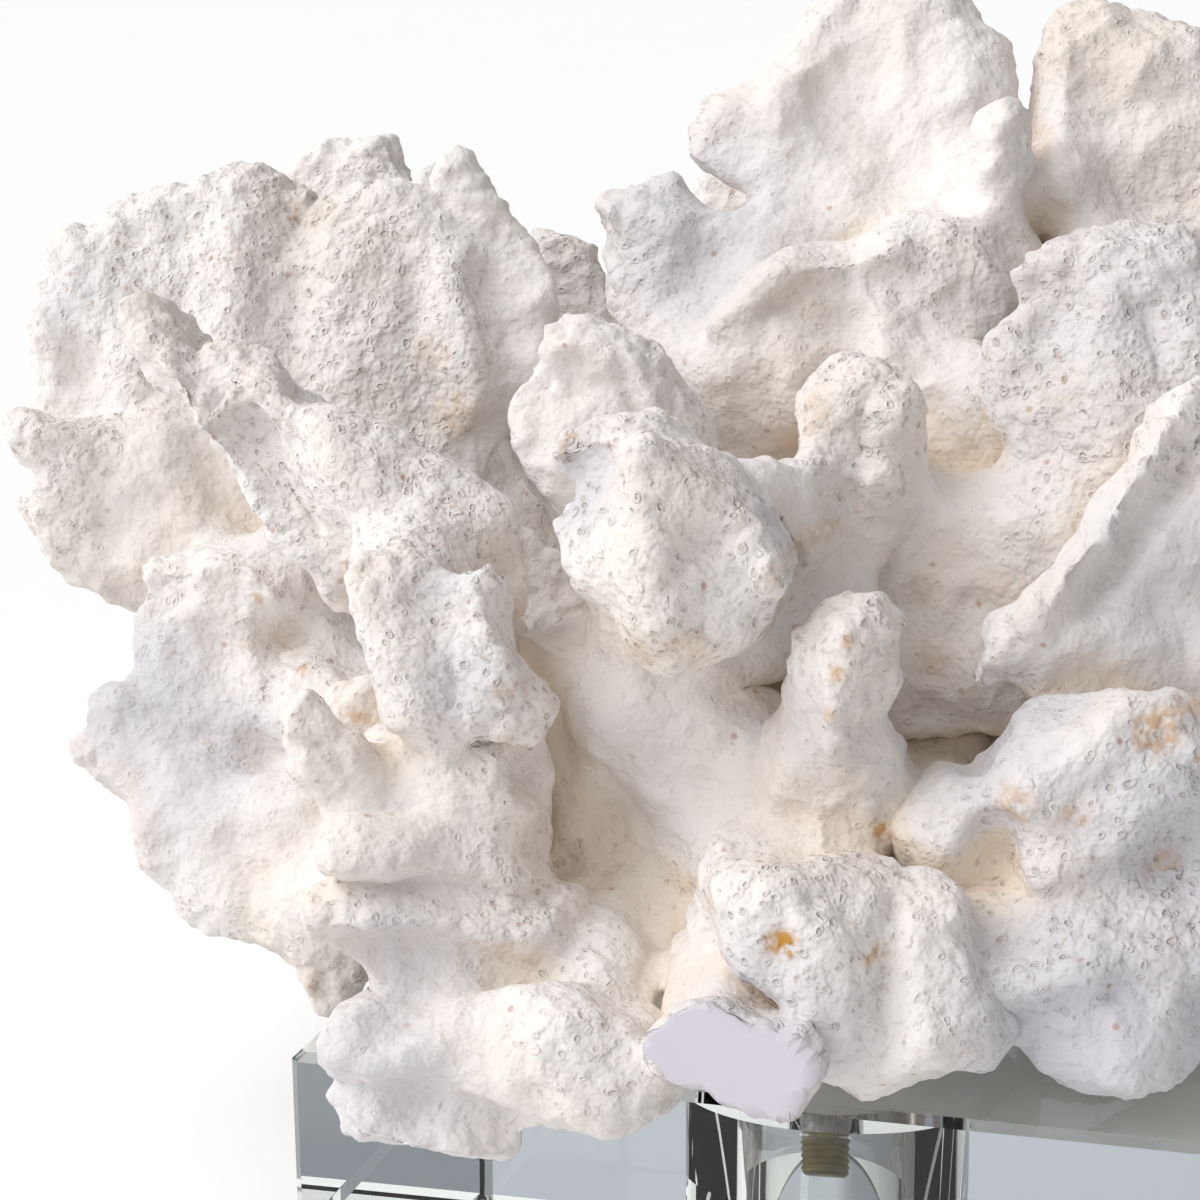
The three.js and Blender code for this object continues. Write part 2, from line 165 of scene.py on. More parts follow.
def addStudio():
    world = bpy.data.worlds.new("Studio")
    bpy.context.scene.world = world
    world.use_nodes = True
    world.node_tree.nodes.clear()
    tree = world.node_tree
    heading = addNode(tree, "ShaderNodeTexCoord")
    axes = addNode(tree, "ShaderNodeSeparateXYZ", links={0: heading.outputs["Generated"]})
    behind = addNode(tree, "ShaderNodeMapRange", span(studio["wallDepth"], smooth=True),
                     {"Value": axes.outputs["Y"]})
    low = addNode(tree, "ShaderNodeMapRange", span(studio["wallTop"], smooth=True),
                  {"Value": axes.outputs["Z"]})
    wall = addNode(tree, "ShaderNodeMath", {"operation": "MULTIPLY"},
                   {0: behind.outputs[0], 1: low.outputs[0]})
    side = addNode(tree, "ShaderNodeMapRange", span(studio["wallSplit"], smooth=True),
                   {"Value": axes.outputs["X"]})
    wallTint = addNode(tree, "ShaderNodeMix", {
        "data_type": "RGBA", 6: linear(studio["wallLeft"]), 7: linear(studio["wallRight"])},
        {0: side.outputs[0]})
    bright = addNode(tree, "ShaderNodeMapRange", {
        "interpolation_type": "SMOOTHSTEP", "From Min": studio["skySpan"][0],
        "From Max": studio["skySpan"][1],
        "To Min": studio["skyLeft"], "To Max": studio["skyRight"]}, {"Value": axes.outputs["X"]})
    sky = addNode(tree, "ShaderNodeVectorMath", {"operation": "SCALE", 0: linear(studio["sky"])[:3]},
                  {"Scale": bright.outputs[0]})
    room = addNode(tree, "ShaderNodeMix", {"data_type": "RGBA"},
                   {0: wall.outputs[0], 6: sky.outputs[0], 7: wallTint.outputs[2]})
    glow = addNode(tree, "ShaderNodeBackground", {"Strength": 1.0}, {"Color": room.outputs[2]})
    addNode(tree, "ShaderNodeOutputWorld", links={"Surface": glow.outputs[0]})
    addKey()
    bpy.context.scene.view_settings.view_transform = "Standard"


def paintedBoardMaterial():
    # pale painted board: matt, faintly mottled, so that the floor reads as a surface
    material, tree = newMaterial("PaleStudioFloor")
    place = addNode(tree, "ShaderNodeTexCoord")
    mottle = addNode(tree, "ShaderNodeTexNoise", {"Scale": 1000 / studio["mottle"], "Detail": 2.0},
                     {"Vector": place.outputs["Object"]})
    tint = addNode(tree, "ShaderNodeMapRange", {"To Min": studio["mottleDark"], "To Max": 1.0},
                   {"Value": mottle.outputs["Fac"]})
    colour = addNode(tree, "ShaderNodeMix", {
        "data_type": "RGBA", "blend_type": "MULTIPLY", 0: 1.0, 6: linear(studio["floor"])},
        {7: tint.outputs[0]})
    surface = addNode(tree, "ShaderNodeBsdfPrincipled", {"Roughness": 0.9},
                      {"Base Color": colour.outputs[2]})
    addNode(tree, "ShaderNodeOutputMaterial", links={"Surface": surface.outputs[0]})
    return material


def addFloor():
    reach = studio["floorReach"]
    sides = studio["floorSides"]
    turns = [2 * math.pi * i / sides for i in range(sides)]
    points = [(reach * math.cos(turn), reach * math.sin(turn), -studio["floorDrop"] * mm) for turn in turns]
    floor = meshPiece("floor", points, [tuple(range(sides))], paintedBoardMaterial(), smooth=False)


coral = {
    "voxel": 0.86,       # mm between the grid points that the skin is drawn on
    "band": 8,           # grid steps of distance that are kept on each side of a branch's skin
    "soften": 1.0,       # mm, rounds the branches' facets
    "web": 4.6,          # mm, how far a fillet reaches where branches meet
    "pare": 0.25,        # mm taken off every branch, so that the relief can stand proud again
    "slim": {"centre_finger": 1.5, "centre_right_knob": 1.2, "left_front_finger": 0.8,
             "sawn_stub": 1.6},   # more off these
    "tuck": 0.05,        # mm, how far a branch's skin slips under its neighbour's past their border
    "tuckReach": 1.2,    # mm past the border where it dives in
    "tuckSlope": 1.5,    # how steeply it dives
    "buried": 0.7,       # mm under the joined skin, past which it is thinned out
    "coarse": 4.0,       # mm between the points of that buried skin
    "shelterSkip": 4,    # grid steps between the places where shelter is measured
    "shelterSpread": 7.0,   # mm, how far round a place it is measured
    "hollowReach": 5.0,  # mm in front of the skin where shelter counts as a hollow, which gets painted warm bounce light
    "rimReach": 2.0,     # mm behind the skin where little coral means a thin rim
    "rimShelter": (0.24, 0.42),
    "blockReach": 63.0,  # mm from the block's middle within which the coral stays above its top
    "blockGap": 0.15,    # mm
    "seed": 5,
}


# ridges (plus) and grooves (minus) across the branches' faces: height and reach in mm,
# then points to the right and up, in mm from the middle of the block's top
folds = {
    "left_fan": [
        (-3.0, 7, [(-84, 112), (-85, 96), (-83, 76)]), (2.2, 6, [(-70, 110), (-62, 101), (-56, 78)]),
        (1.6, 6, [(-95, 109), (-94, 86)]), (-2.0, 9, [(-104, 99), (-101, 90)]),
        (1.6, 5, [(-122, 98), (-108, 85)]), (-1.6, 8, [(-115, 85), (-118, 78)])],
    "left_tip": [(-3.2, 4, [(-120, 67)]), (2.2, 5, [(-123, 76), (-112, 70)]),
                 (-2.0, 6, [(-104, 60), (-98, 54)])],
    "left_front_blade": [
        (4.2, 3.5, [(-99, 98), (-90, 90), (-82, 82), (-69, 65), (-64, 58)]),
        (-3.0, 5, [(-76, 79), (-67, 67)]),
        (2.6, 5, [(-79, 88), (-70, 82), (-62, 81), (-53, 68), (-42, 65), (-38, 54)]),
        (-3.0, 7, [(-87, 79), (-76, 64)])],
    "left_front_finger": [
        (-2.8, 5, [(-43, 70), (-39, 56), (-35, 44)]), (2.2, 6, [(-51, 65), (-45, 49)]),
        (2.0, 5, [(-35, 61), (-29, 49)]), (-4.0, 3.5, [(-30, 40)])],
    "left_cup": [(2.6, 4, [(-98, 57), (-85, 58), (-76, 53)]), (-4.0, 11, [(-79, 47), (-75, 39)])],
    "left_shelf": [
        (2.2, 5, [(-104, 37), (-89, 30), (-75, 23)]), (2.0, 4, [(-100, 47), (-84, 48)]),
        (-4.0, 10, [(-86, 39), (-77, 34)])],
    "left_low_blade": [
        (1.8, 5, [(-105, 35), (-92, 17)]), (-2.0, 6, [(-86, 26), (-77, 14)]),
        (1.8, 6, [(-76, 27), (-67, 7)])],
    "left_lip": [
        (2.2, 4, [(-60, 32), (-43, 32), (-31, 27)]), (-3.0, 4, [(-56, 28), (-38, 28), (-30, 25)]),
        (2.2, 4, [(-56, 24), (-40, 24), (-28, 21)]), (-2.6, 6, [(-43, 19)]),
        (2.0, 4, [(-54, 20), (-45, 13)])],
    "low_left_toe": [
        (-2.6, 4, [(-53, 5), (-37, 3), (-29, 1)]), (2.0, 5, [(-49, 9), (-40, 9)]),
        (2.0, 5, [(-46, -1), (-32, -3)])],
    "low_middle_knob": [(-2.2, 4, [(-31, 11), (-30, 4)]), (-1.8, 5, [(-23, 8)])],
    "centre_crown": [(2.2, 4, [(-36, 92), (-25, 90), (-18, 78)]),
                     (-2.4, 4, [(-38, 86), (-26, 84), (-21, 76)])],
    "centre_boss": [
        (-3.0, 6, [(-21, 78), (-19, 73)]), (-3.0, 6, [(-6, 70)]),
        (2.4, 4, [(-14, 82), (-12, 71), (-10, 62)]),
        (2.0, 4, [(-26, 82), (-15, 84), (-9, 78), (3, 69)]), (2.2, 4, [(3, 67), (0, 62), (-9, 57)]),
        (-1.8, 4, [(-18, 63)])],
    "centre_finger": [(2.4, 4, [(11, 61), (10, 54), (8, 46)]), (-2.0, 6, [(5, 48)]), (-2.2, 5, [(13, 48)])],
    "front_lobe": [
        (2.4, 5, [(-6, 31), (7, 31), (14, 28)]), (-2.6, 8, [(3, 19)]), (-2.6, 4, [(17, 27), (18, 16)]),
        (2.4, 9, [(24, 16)]), (-2.0, 4, [(28, 26), (30, 17)])],
    "right_foot_lobe": [(2.4, 4, [(33, 20), (47, 23), (56, 21)]), (-2.4, 6, [(39, 12)])],
    "right_low_lobe": [
        (1.8, 4, [(43, 50), (34, 43)]), (-0.8, 4, [(41, 43), (33, 37)]),
        (1.8, 5, [(52, 40), (42, 35), (34, 30)]),
        (-1.2, 4, [(50, 33), (41, 29)]), (1.6, 4, [(45, 26), (53, 29)])],
    "right_ridge_blade": [
        (3.4, 4.5, [(50, 90), (39, 72), (33, 63), (20, 48)]), (-3.0, 3.5, [(51, 82), (46, 75), (36, 59)]),
        (-2.5, 9, [(45, 59)])],
    "dish": [(-2.6, 6, [(19, 62), (20, 54)]), (1.8, 5, [(30, 62), (24, 54)]),
             (-2.0, 5, [(29, 70), (30, 60)]),
             (2.0, 5, [(14, 47), (22, 52)]), (-1.8, 5, [(-2, 62), (0, 53)])],
    "centre_right_knob": [
        (2.0, 4, [(-1, 81), (3, 85), (7, 86), (12, 83)]), (-2.6, 5, [(6, 78)]), (2.0, 4, [(9, 80), (8, 71)]),
        (-2.0, 3, [(5, 72), (4, 64)])],
    "right_lobe": [
        (2.2, 4, [(19, 97), (26, 102), (44, 103)]), (-2.0, 8, [(27, 92)]), (-2.0, 5, [(40, 94), (42, 86)])],
    "centre_right_blade": [
        (2.4, 3.5, [(-18, 90), (-12, 96), (4, 101)]), (-2.2, 9, [(-6, 88)]), (-2.0, 5, [(5, 95), (11, 87)])],
    "centre_back_lobe": [(-5.0, 6, [(-26, 107)]), (2.4, 4, [(-42, 105), (-27, 103), (-19, 101)])],
    "top_fan": [
        (3.0, 6, [(-31, 119), (-18, 121)]), (-2.4, 9, [(-6, 119)]), (2.0, 6, [(-16, 122), (-17, 105)]),
        (2.2, 6, [(8, 125), (12, 112)])],
    "top_right_fan": [(-3.0, 5, [(18, 126), (19, 114)]), (2.0, 6, [(22, 130), (25, 110)]),
                      (-2.0, 8, [(30, 116)])],
    "left_back_bumps": [(2.0, 5, [(-96, 112)]), (-2.4, 4, [(-90, 114)]), (2.0, 5, [(-84, 113)])],
}

# webs that fill the angle between a branch and its neighbour: two ends in mm from the middle of
# the block's top (right, back, up), and the radius
webs = {
    "left_trunk": [((-32, -32, 50), (-29, -38, 22), 8)],
    "left_back_spade": [((-64, 13, 109), (-62, 13, 92), 3.5), ((-60, 13, 103), (-59, 13, 90), 4)],
    "sawn_stub": [((-3.5, -84, 13.4), (4, -84, 12.6), 5.7)],
    "front_trunk": [((-14, -36, 40), (2, -46, 36), 7), ((-14, -38, 26), (2, -52, 28), 8)],
    "left_fan": [((-104, -8, 66), (-100, -12, 56), 8)],
    "left_front_finger": [
        ((-52, -44, 62), (-45, -52, 60), 8), ((-38, -56, 44), (-44, -50, 36), 7),
        ((-36, -60, 38), (-38, -58, 34), 7)],
    "left_front_blade": [((-70, -30, 72), (-74, -14, 68), 6)],
    "left_finger": [((-48, -54, 36), (-38, -54, 34), 7)],
    "left_cup": [((-82, -22, 50), (-76, -18, 58), 8), ((-76, -26, 38), (-70, -30, 30), 8)],
    "left_shelf": [((-84, -26, 38), (-72, -28, 34), 7), ((-86, -30, 26), (-80, -34, 20), 7)],
    "left_low_blade": [((-62, -42, 16), (-52, -50, 18), 8)],
    "left_lip": [((-34, -58, 16), (-24, -58, 12), 7), ((-44, -60, 18), (-40, -66, 10), 7)],
    "low_left_toe": [((-34, -74, 5), (-25, -76, 8), 8)],
    "centre_right_knob": [((6, -24, 70), (6, -14, 62), 7), ((4, -26, 72), (2, -29, 58), 4.5)],
    "centre_boss": [
        ((-4, -46, 74), (2, -32, 76), 2.5), ((-4, -42, 68), (2, -30, 69), 3.5),
        ((-5, -38, 61), (1, -28, 61), 4.5),
        ((-7, -36, 54), (0, -28, 53), 6)],
    "dish": [((-2, -16, 64), (26, -18, 62), 9), ((20, -22, 56), (30, -24, 48), 9),
             ((2, -24, 50), (14, -26, 44), 9),
             ((12, -26, 42), (30, -30, 41), 9), ((10, -28, 33), (26, -34, 32), 9),
             ((14, -36, 43), (25, -36, 43), 6)],
    "right_lobe": [((34, -12, 70), (26, -16, 64), 9)],
    "centre_right_blade": [((4, 0, 84), (16, -6, 78), 9)],
    "centre_back_lobe": [((-24, 8, 82), (-10, 0, 82), 9)],
    "top_fan": [((-8, 20, 100), (-16, 14, 94), 9), ((6, 18, 98), (10, 6, 92), 9)],
    "top_right_fan": [((26, 28, 106), (12, 24, 106), 7), ((32, 22, 94), (34, 2, 92), 9)],
    "front_lobe": [((0, -58, 22), (4, -46, 16), 9)],
    "right_low_lobe": [((30, -42, 34), (24, -46, 30), 7), ((44, -44, 34), (48, -48, 22), 12),
                       ((34, -44, 38), (44, -46, 32), 8)],
    "right_foot_lobe": [((40, -50, 20), (48, -48, 26), 11), ((34, -54, 18), (26, -58, 18), 8)],
}

# ochre stains: to the right and up in mm from the middle of the block's top, radius and strength
stains = {
    "front_lobe": [(7, 27, 2.2, 1.0), (17, 25, 1.3, 0.6)],
    "centre_finger": [(14, 34, 1.3, 0.8), (11, 60, 1.1, 0.5), (10, 56, 1.0, 0.6), (9, 51, 1.0, 0.4)],
    "right_low_knob": [(47, 49, 3.2, 0.6), (50, 51, 2.0, 0.5)],
    "right_low_lobe": [(48, 32, 2.4, 0.4), (31, 40, 3.0, 0.4), (38, 39, 2.0, 0.4)],
    "left_knob": [(-57, 42, 3.0, 0.5)],
    "left_shelf": [(-88, 31, 2.4, 0.4)],
    "centre_boss": [
        (-24, 82, 1.6, 0.4), (-18, 60, 2.0, 0.3), (2, 68, 2.0, 0.3), (-14, 58, 4.0, 0.25),
        (-7, 59, 3.0, 0.25),
        (-24, 64, 2.0, 0.25)],
    "dish": [(13, 58, 3.0, 0.2), (6, 64, 3.0, 0.2), (24, 60, 4.0, 0.15), (14, 49, 3.0, 0.2)],
    "centre_right_knob": [(3, 70, 3.0, 0.25), (0, 82, 3.0, 0.25)],
    "top_right_fan": [(20, 114, 3.0, 0.25)],
    "right_lobe": [(20, 98, 2.0, 0.3), (30, 84, 4.0, 0.15)],
    "left_cup": [(-80, 53, 1.4, 0.5), (-74, 43, 1.0, 0.6), (-82, 46, 1.0, 0.3)],
    "left_fan": [(-64, 84, 4.0, 0.25), (-60, 76, 4.0, 0.3), (-66, 110, 2.0, 0.2)],
    "left_front_finger": [(-31, 52, 1.4, 0.4), (-33, 44, 1.2, 0.4)],
}

# painted shade: lilac grey patches laid where the coral lies in shade; right, back, up, radius in mm, and
# strength
paintedShadePatches = [
    (-22, -62, 77, 8, 0.7), (-3, -58, 70, 9, 0.8), (-13, -64, 66, 6, 0.4), (-41, -66, 64, 7, 0.5),
    (-37, -66, 52, 8, 0.6), (3, -80, 19, 12, 0.6), (12, -80, 16, 9, 0.5), (-43, -74, 19, 10, 0.6),
    (-118, -8, 93, 8, 0.4), (-75, -30, 77, 8, 0.4), (-98, -32, 38, 15, 0.9), (-86, -34, 28, 15, 0.8),
    (-44, -82, 4, 15, 0.6), (32, -50, 42, 15, 0.8), (48, -52, 36, 18, 0.9), (40, -64, 14, 20, 1.0),
    (56, -58, 14, 18, 1.0), (50, -42, 66, 18, 0.7), (56, -52, 28, 16, 0.8), (6, -62, 48, 7, 0.4),
    (-26, 6, 103, 20, 0.7), (32, -6, 90, 22, 0.6),
]

# where the skin is full of pits (plus) or worn smooth (minus): right, back, up, radius in mm
wear = [
    (-87, 0, 92, 30, 0.7), (-62, -42, 74, 24, 0.6), (-40, -64, 56, 17, 0.7), (-13, -64, 70, 16, 0.6),
    (37, -14, 90, 22, 0.5), (5, -30, 80, 12, 0.7), (-118, -16, 66, 12, 0.6), (8, -84, 26, 14, 0.4),
    (-18, -38, 44, 18, -1.0), (6, -14, 56, 20, -0.7), (44, -40, 60, 14, -0.8), (42, -56, 30, 18, 0.5),
    (-2, 22, 112, 26, -0.3), (-50, 60, 78, 34, 0.5), (30, 66, 84, 32, 0.6), (92, 20, 96, 30, 0.5),
    (-98, -8, 62, 14, -0.9), (-48, -72, 14, 10, -0.4),
]

# the sawn end of the low stub: a point in mm from the middle of the block's top, the cut's facing, how far
# the flat lies behind that point, and where its rounded edge begins and ends in front of the flat
sawn = {"at": (0, -84, 13), "facing": (-0.12, -1, -0.16), "behind": 1.4, "edge": (-0.8, -0.2)}


def fromTop(spots):
    # mm from the middle of the block's top to mm in the object's own frame
    return np.asarray(spots, float) + np.array(blockTop) / mm


def gaussian(field, sigma):
    # blur along each axis, sigma in grid steps
    sigmas = 2.5
    reach = int(math.ceil(sigmas * sigma))
    weights = np.exp(-0.5 * (np.arange(-reach, reach + 1) / sigma) ** 2)
    weights = (weights / weights.sum()).astype(np.float32)
    for axis in range(3):
        padded = np.pad(field, [(reach, reach) if a == axis else (0, 0) for a in range(3)], mode="edge")
        total = np.zeros_like(field)
        size = field.shape[axis]
        for i, weight in enumerate(weights):
            cut = [slice(None)] * 3
            cut[axis] = slice(i, i + size)
            total += weight * padded[tuple(cut)]
        field = total
    return field


def lineDistance(spots, low, high):
    # distance in mm from each spot to the straight line between two points
    run = np.asarray(high) - low
    along = ((spots - low) @ run) / max(run @ run, 1e-9)
    return np.linalg.norm(spots - low - np.clip(along, 0, 1)[..., None] * run, axis=-1)


def hashed(cell, seed):
    # three repeatable random numbers from 0 to 1 for each whole-number cell
    x, y, z = (cell[:, i].astype(np.int64) for i in range(3))
    value = (x * 73856093) ^ (y * 19349663) ^ (z * 83492791) ^ (seed * 2654435761)
    out = []
    for _ in range(3):
        value = (value ^ (value >> 15)) * 2246822519 & 0xFFFFFFFF
        value = (value ^ (value >> 13)) * 3266489917 & 0xFFFFFFFF
        value = value ^ (value >> 16)
        out.append(value.astype(np.float32) / 4294967295.0)
    return np.stack(out, axis=1)


def gradientNoise(points, size, seed):
    # smooth noise from about -1 to 1 with lumps about `size` mm across
    scaled = points / size
    base = np.floor(scaled).astype(np.int64)
    inside = (scaled - base).astype(np.float32)
    ease = inside ** 3 * (inside * (inside * 6 - 15) + 10)
    total = np.zeros(len(points), np.float32)
    for corner in range(8):
        step = np.array([corner & 1, corner >> 1 & 1, corner >> 2 & 1])
        slope = hashed(base + step, seed) * 2 - 1
        reach = ((inside - step) * slope).sum(axis=1)
        weight = np.prod(np.where(step, ease, 1 - ease), axis=1)
        total += weight * reach
    return total * 1.7


def cellDistance(points, size, seed):
    # distance in mm to the nearest of scattered points, and a random number for that point
    scaled = points / size
    base = np.floor(scaled).astype(np.int64)
    nearest = np.full(len(points), 9.0, np.float32)
    mark = np.zeros(len(points), np.float32)
    for i in range(27):
        step = np.array([i % 3 - 1, i // 3 % 3 - 1, i // 9 - 1])
        spot = hashed(base + step, seed)
        gap = np.sqrt((((base + step) + spot - scaled) ** 2).sum(axis=1)).astype(np.float32)
        closer = gap < nearest
        nearest = np.where(closer, gap, nearest)
        mark = np.where(closer, (spot[:, 0] * 7.31 + spot[:, 1] * 3.7) % 1.0, mark)
    return nearest * size, mark


def smoothStep(low, high, value):
    t = np.clip((value - low) / (high - low), 0, 1)
    return t * t * (3 - 2 * t)


class CoralGrid:
    # one grid over the whole coral, in mm, which every branch's distance field is set into
    def __init__(self):
        self.step = coral["voxel"]
        self.far = coral["band"] * self.step
        lows = np.array([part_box(node)[0] for node in coralNodes]).min(axis=0) / mm
        highs = np.array([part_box(node)[1] for node in coralNodes]).max(axis=0) / mm
        self.origin = lows - self.far - 3 * self.step
        self.shape = tuple(int(n) for n in np.ceil((highs + self.far - self.origin) / self.step) + 4)
        self.joined = np.full(self.shape, self.far, np.float32)
        self.first = self.joined.copy()
        self.second = self.joined.copy()
        self.owner = np.full(self.shape, -1, np.int16)
        self.branches = []

    def window(self, node):
        low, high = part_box(node)
        margin = self.far + self.step
        start = np.floor((np.array(low) / mm - margin - self.origin) / self.step).astype(int)
        stop = np.ceil((np.array(high) / mm + margin - self.origin) / self.step).astype(int) + 1
        return np.maximum(start, 0), np.minimum(stop, self.shape)

    def branchField(self, node, start, stop):
        mesh = frame["nodes"][node].data
        points = np.empty(len(mesh.vertices) * 3, np.float32)
        mesh.vertices.foreach_get("co", points)
        points = (points.reshape(-1, 3) / mm - self.origin) / self.step
        mesh.calc_loop_triangles()
        triangles = np.empty(len(mesh.loop_triangles) * 3, np.uint32)
        mesh.loop_triangles.foreach_get("vertices", triangles)
        level = openvdb.FloatGrid.createLevelSetFromPolygons(
            points.astype(np.float32), triangles=triangles.reshape(-1, 3), halfWidth=float(coral["band"]))
        field = np.empty(tuple(stop - start), np.float32)
        level.copyToArray(field, ijk=tuple(int(n) for n in start))
        field = gaussian(field * self.step, coral["soften"] / self.step)
        return field + coral["pare"] + coral["slim"].get(node, 0)

    def lines(self, start, stop):
        # the places of a window's grid points along each axis, in mm
        return [np.arange(a, b) * self.step + o for a, b, o in zip(start, stop, self.origin)]

    def webbed(self, node, start, stop, field):
        x, y, z = self.lines(start, stop)
        spots = np.stack(np.meshgrid(x, y, z, indexing="ij"), axis=-1) if node in webs else None
        for low, high, radius in webs.get(node, []):
            gap = lineDistance(spots, fromTop(low), fromTop(high)) - radius
            blend = np.clip(coral["web"] - np.abs(field - gap), 0, None) / coral["web"]
            field = np.minimum(field, gap) - blend * blend * coral["web"] / 4
        if node == "sawn_stub":
            field = np.maximum(field, pastSaw(spots)[0])
        rim = [slice(2, -2)] * 3
        closed = np.full_like(field, self.far)
        closed[tuple(rim)] = field[tuple(rim)]
        return closed.astype(np.float32)

    def folded(self, node, start, stop, field):
        x, _, z = self.lines(start, stop)
        spots = np.stack(np.meshgrid(x, [0.0], z, indexing="ij"), axis=-1)
        change = np.zeros(spots.shape[:3], np.float32)
        for height, reach, route in folds.get(node, []):
            route = [fromTop((right, 0, up)) * (1, 0, 1) for right, up in route]
            pairs = list(zip(route, route[1:])) or [(route[0], route[0])]
            gap = np.minimum.reduce([lineDistance(spots, low, high) for low, high in pairs])
            change += height * np.clip(1 - gap / reach, 0, 1)
        return field - change.astype(np.float32)

    def add(self, index, node):
        start, stop = self.window(node)
        place = tuple(slice(a, b) for a, b in zip(start, stop))
        field = self.branchField(node, start, stop)
        field = self.webbed(node, start, stop, field)
        field = self.folded(node, start, stop, field)
        joined = self.joined[place]
        blend = np.clip(coral["web"] - np.abs(joined - field), 0, None) / coral["web"]
        self.joined[place] = np.minimum(joined, field) - blend * blend * coral["web"] / 4
        first = self.first[place]
        closer = field < first
        self.second[place] = np.where(closer, first, np.minimum(self.second[place], field))
        self.first[place] = np.where(closer, field, first)
        self.owner[place] = np.where(closer, index, self.owner[place])
        self.branches.append((node, place, start, field))

    def measureShelter(self):
        # how much coral stands round each place, from a coarse copy of the grid
        self.skip = coral["shelterSkip"]
        filled = (self.joined[::self.skip, ::self.skip, ::self.skip] < 0).astype(np.float32)
        self.shelter = gaussian(filled, coral["shelterSpread"] / (self.step * self.skip))

    def sample(self, field, points, skip=1):
        # a field's value between grid points, by straight blending
        at = (points - self.origin) / (self.step * skip)
        at = np.clip(at, 0, np.array(field.shape) - 1.001)
        base = at.astype(np.int64)
        part = (at - base).astype(np.float32)
        total = np.zeros(len(points), np.float32)
        for corner in range(8):
            step = np.array([corner & 1, corner >> 1 & 1, corner >> 2 & 1])
            spot = base + step
            weight = np.prod(np.where(step, part, 1 - part), axis=1)
            total += weight * field[spot[:, 0], spot[:, 1], spot[:, 2]]
        return total

    def facing(self, points):
        # the direction in which the joined coral's skin faces
        slopes = []
        for axis in range(3):
            nudge = np.zeros(3)
            nudge[axis] = self.step
            ahead = self.sample(self.joined, points + nudge)
            slopes.append(ahead - self.sample(self.joined, points - nudge))
        slopes = np.stack(slopes, axis=1)
        return slopes / np.maximum(np.linalg.norm(slopes, axis=1, keepdims=True), 1e-6)


relief = {
    "sway": 1.2,           # mm, slow bends of the branches, over swaySize
    "swaySize": 24.0,
    "curl": 1.1,           # mm, quicker bends of the rims, over curlSize
    "curlSize": 9.0,
    "flute": 1.9,          # mm, ribs that run outwards along the growth, over fluteSize
    "fluteSize": 11.0,
    "lump": 2.2,           # mm, creased lumps, over lumpSize
    "lumpSize": 14.0,
    "pleat": 1.3,          # mm, sharp folds, over pleatSize
    "pleatSize": 7.5,
    "knob": 0.6,
    "knobSize": 5.0,
    "crumb": 0.24,
    "crumbSize": 2.3,
    "crag": 1.1,           # mm, crumbling of thin rims, over cragSize
    "cragSize": 4.2,
    "cragFine": (0.6, 0.45),   # a finer layer of it: height and size as shares of those
    "gritSize": 0.6,       # grit on the skin, as a share of crumbSize
    "grit": (0.3, 0.5),    # its height as a share of crumb, and how much more where the skin is pitted
    "pitSize": 3.2,        # mm between pit centres
    "pitRadius": 0.9,
    "pitDepth": 0.5,
    "pitShare": 0.35,      # share of the places that hold a pit
    "pitEdge": (0.35, 1.25),   # where a pit's wall begins and ends, in pit radii
    "growthFoot": 5,       # mm above the block's top where the growth starts
    "growthWidth": 62,     # mm, the distance at which noise along the growth has its full width
    "growthStretch": 0.12,
    "crease": 0.35,        # noise level that creases lie above
    "sharpCrease": 0.3,
    "wornSize": 20.0,      # mm, size of the patches where pits come and go
    "wornSway": 0.45,
    "wornBase": 0.1,
    "wornEdge": (0.5, 1.3),    # where a patch of wear begins and ends to fade, in its radii
    "pitted": (-0.15, 0.55),
    "stainEdge": (0.5, 1.2),   # where stains and the painted shade patches begin and end to fade, in their radii
    "paintedShadeEdge": (0.3, 1.3),
    "frontFacing": 0.3,    # stains lie where the skin faces less than this to the back
}


def bend(points):
    # slow waves that carry whole branches sideways, the same for all that meet
    moved = points.copy()
    for axis in range(3):
        moved[:, axis] += relief["sway"] * gradientNoise(points, relief["swaySize"], 11 + axis)
        moved[:, axis] += relief["curl"] * gradientNoise(points, relief["curlSize"], 21 + axis)
    return moved


def outwards(points):
    # a place for noise that is drawn out along the coral's growth from its foot
    reach = points - fromTop([0, 0, relief["growthFoot"]])
    length = np.linalg.norm(reach, axis=1, keepdims=True)
    return reach / np.maximum(length, 1e-3) * relief["growthWidth"] + length * relief["growthStretch"]


def creased(points, size, level, seed):
    # noise folded over, so that its crests are sharp
    return level - np.abs(gradientNoise(points, size, seed))


